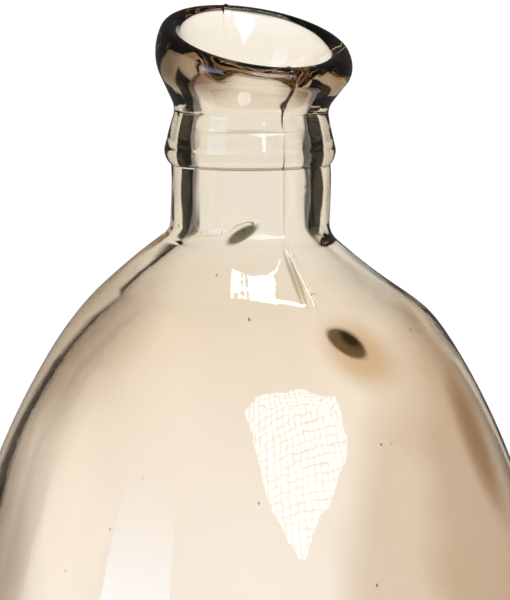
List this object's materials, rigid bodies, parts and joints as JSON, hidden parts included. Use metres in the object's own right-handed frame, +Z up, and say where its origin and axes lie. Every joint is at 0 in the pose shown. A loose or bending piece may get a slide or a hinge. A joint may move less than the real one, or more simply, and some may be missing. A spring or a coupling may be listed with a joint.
{
  "type": "glass bottle vase",
  "caption": "Large smoke-tinted moulded glass bottle vase with a wide pear-shaped body, a collared neck and a slanted, flared lip.",
  "frame": {"origin": "centre of the foot ring, on the surface that the vase stands on", "axes": "+Z up the bottle's axis towards the mouth, -Y to the front; the mouth is lowest 28 degrees from -Y towards +X"},
  "size_m": [0.286, 0.286, 0.4609],
  "materials": {
    "lip_glass": "fire-polished, smoke brown",
    "neck_glass": "glossy, smoke grey",
    "body_glass": "glossy, smoke peach"
  },
  "bodies": {
    "root": {"lip": "lip_glass", "collar": "neck_glass", "neck": "neck_glass", "shoulder": "neck_glass", "body": "body_glass", "base": "body_glass"}
  },
  "joints": []
}
